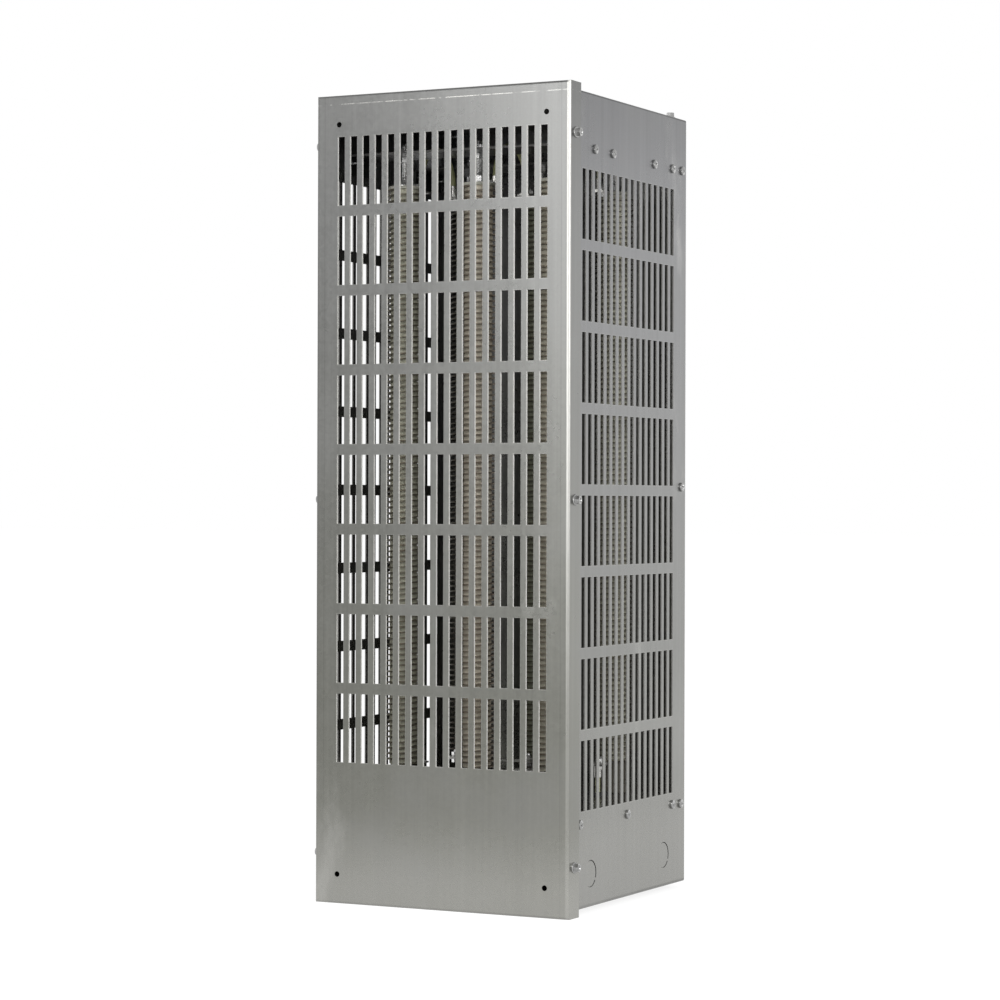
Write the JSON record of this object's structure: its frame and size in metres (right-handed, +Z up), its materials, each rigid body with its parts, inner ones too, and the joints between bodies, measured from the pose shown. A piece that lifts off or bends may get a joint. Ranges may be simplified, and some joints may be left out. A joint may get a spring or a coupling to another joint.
{
  "type": "braking resistor",
  "caption": "Tall ventilated sheet-metal box with a slotted front cover and slotted sides, holding upright edge-wound ribbon resistors on tie rods above a wiring space",
  "frame": {"origin": "middle of the footprint, at the level of the cover's lower edge", "axes": "+Z up the box, -Y out of the slotted front cover, +X to the right seen from the front"},
  "size_m": [0.2644, 0.255, 0.7276],
  "materials": {
    "cover_steel": "galvanised sheet, satin with a fine spangle",
    "case_steel": "galvanised sheet, satin with a fine spangle",
    "bracket_steel": "galvanised sheet, duller",
    "ribbon_alloy": "rolled resistance alloy, faintly brown",
    "ceramic_insulator": "unglazed off-white ceramic",
    "rod_steel": "bright zinc-plated rod",
    "wire_insulation": "silicone-rubber insulation, pale yellow-green",
    "grommet_rubber": "black rubber",
    "block_phenolic": "black phenolic moulding",
    "tinned_terminals": "tin-plated brass",
    "lug_steel": "bare strip",
    "zinc_hardware": "bright zinc plating"
  },
  "bodies": {
    "root": {"back_panel": "case_steel", "back_screws": "zinc_hardware", "bottom_panel": "case_steel", "clamp_plates": "tinned_terminals", "clamp_screws": "zinc_hardware", "core_front_left": "ceramic_insulator", "core_front_middle": "ceramic_insulator", "core_front_right": "ceramic_insulator", "core_rear_left": "ceramic_insulator", "core_rear_middle": "ceramic_insulator", "core_rear_right": "ceramic_insulator", "cover_screws": "zinc_hardware", "element_nuts": "zinc_hardware", "element_washers": "zinc_hardware", "front_bracket_screws": "zinc_hardware", "front_cover": "cover_steel", "ground_nut": "zinc_hardware", "ground_stud": "zinc_hardware", "inner_nuts": "zinc_hardware", "jumper_terminals": "tinned_terminals", "jumper_wires": "wire_insulation", "lead_terminals": "tinned_terminals", "left_lead_wire": "wire_insulation", "left_side_panel": "case_steel", "link_bars": "lug_steel", "lower_bolts": "zinc_hardware", "lower_insulators": "ceramic_insulator", "lower_lugs": "lug_steel", "lower_nuts": "zinc_hardware", "lower_shelf": "bracket_steel", "outer_nuts": "zinc_hardware", "rear_bracket_screws": "zinc_hardware", "ribbon_front_left": "ribbon_alloy", "ribbon_front_middle": "ribbon_alloy", "ribbon_front_right": "ribbon_alloy", "ribbon_rear_left": "ribbon_alloy", "ribbon_rear_middle": "ribbon_alloy", "ribbon_rear_right": "ribbon_alloy", "right_lead_wire": "wire_insulation", "right_side_panel": "case_steel", "shelf_grommets": "grommet_rubber", "shelf_nuts": "zinc_hardware", "shelf_screws": "zinc_hardware", "terminal_block": "block_phenolic", "tie_rod_front_left": "rod_steel", "tie_rod_front_middle": "rod_steel", "tie_rod_front_right": "rod_steel", "tie_rod_rear_left": "rod_steel", "tie_rod_rear_middle": "rod_steel", "tie_rod_rear_right": "rod_steel", "top_insulators": "ceramic_insulator", "top_panel": "case_steel", "top_screws": "zinc_hardware", "upper_bolts": "zinc_hardware", "upper_front_bracket": "bracket_steel", "upper_lugs": "lug_steel", "upper_nuts": "zinc_hardware", "upper_rear_bracket": "bracket_steel"}
  },
  "joints": []
}
